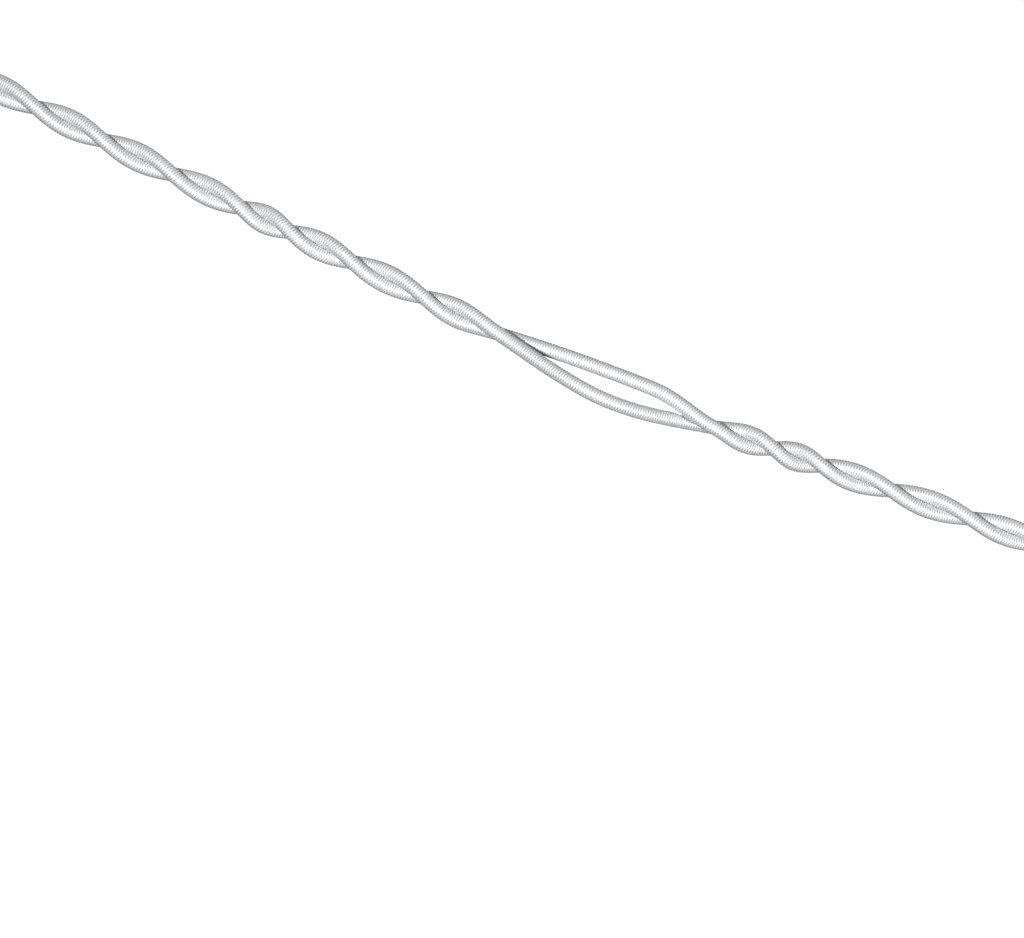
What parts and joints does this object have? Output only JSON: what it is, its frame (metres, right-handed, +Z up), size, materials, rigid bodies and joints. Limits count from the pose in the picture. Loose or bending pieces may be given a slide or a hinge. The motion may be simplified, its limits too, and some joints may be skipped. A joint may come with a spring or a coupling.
{
  "type": "pegless twisted clothesline",
  "caption": "Pegless travel clothesline: two white braided elastic cords twisted together, parted at one stretch for cloth, with a snap hook and suction cup at each end.",
  "frame": {"origin": "middle of the line, halfway between the two suction cups' wall faces, on the axis of the caps", "axes": "+X along the line, towards the right-hand cup; +Z up, as it hangs between two walls; -Y is the side that cord A is pulled out to"},
  "size_m": [0.427, 0.04, 0.04],
  "materials": {
    "sheath": "matt braided",
    "core": "matt",
    "nylon": "satin",
    "crimp": "satin",
    "hook": "nickel plated",
    "steel": "bright",
    "vinyl": "glossy, slightly see-through"
  },
  "bodies": {
    "line": {"cord_b_sheath": "sheath", "cord_b_core": "core"},
    "cord_a": {"cord_a_sheath": "sheath", "cord_a_core": "core"},
    "left_end": {"left_cap": "nylon", "left_cap_plug": "nylon", "left_crimp": "crimp"},
    "left_hook": {"left_hook": "hook", "left_gate_pin": "steel"},
    "left_gate": {"left_gate": "hook", "left_gate_spring": "steel"},
    "left_cup": {"left_cup_eye": "nylon", "left_suction_cup": "vinyl"},
    "right_end": {"right_cap": "nylon", "right_cap_plug": "nylon", "right_crimp": "crimp"},
    "right_hook": {"right_hook": "hook", "right_gate_pin": "steel"},
    "right_gate": {"right_gate": "hook", "right_gate_spring": "steel"},
    "right_cup": {"right_cup_eye": "nylon", "right_suction_cup": "vinyl"}
  },
  "joints": [
    {"name": "cord_grip", "type": "slide", "parent": "line", "child": "cord_a", "axis": [0, -0.9738, -0.2272], "range_m": [-0.00616, 0.006], "stiffness_N_per_m": 120, "deforming": ["cord_a_sheath", "cord_a_core"]},
    {"name": "left_stretch", "type": "slide", "parent": "line", "child": "left_end", "axis": [-1, 0, 0], "range_m": [-0.014, 0.069], "stiffness_N_per_m": 400, "deforming": ["cord_a_sheath", "cord_a_core", "cord_b_sheath", "cord_b_core"]},
    {"name": "left_swivel", "type": "hinge", "parent": "left_end", "child": "left_hook", "pos_m": [-0.1634, 0, 0], "axis": [-1, 0, 0], "continuous": true},
    {"name": "left_gate_hinge", "type": "hinge", "parent": "left_hook", "child": "left_gate", "pos_m": [-0.1765, 0, 0.007], "axis": [0, -1, 0], "range_deg": [0, 25], "stiffness_Nm_per_rad": 0.02, "springref_deg": -11.46},
    {"name": "left_cup_hinge", "type": "hinge", "parent": "left_hook", "child": "left_cup", "pos_m": [-0.1961, 0, 0], "axis": [0, 0, 1], "range_deg": [-35, 35]},
    {"name": "right_stretch", "type": "slide", "parent": "line", "child": "right_end", "axis": [1, 0, 0], "range_m": [-0.0094, 0.0464], "stiffness_N_per_m": 400, "deforming": ["cord_a_sheath", "cord_a_core", "cord_b_sheath", "cord_b_core"]},
    {"name": "right_swivel", "type": "hinge", "parent": "right_end", "child": "right_hook", "pos_m": [0.1634, 0, 0], "axis": [1, 0, 0], "continuous": true},
    {"name": "right_gate_hinge", "type": "hinge", "parent": "right_hook", "child": "right_gate", "pos_m": [0.1765, 0, 0.007], "axis": [0, 1, 0], "range_deg": [0, 25], "stiffness_Nm_per_rad": 0.02, "springref_deg": -11.46},
    {"name": "right_cup_hinge", "type": "hinge", "parent": "right_hook", "child": "right_cup", "pos_m": [0.1961, 0, 0], "axis": [0, 0, 1], "range_deg": [-35, 35]}
  ],
  "couplings": [
    {"joint": "right_stretch", "follows": "left_stretch", "ratio": 0.671}
  ]
}
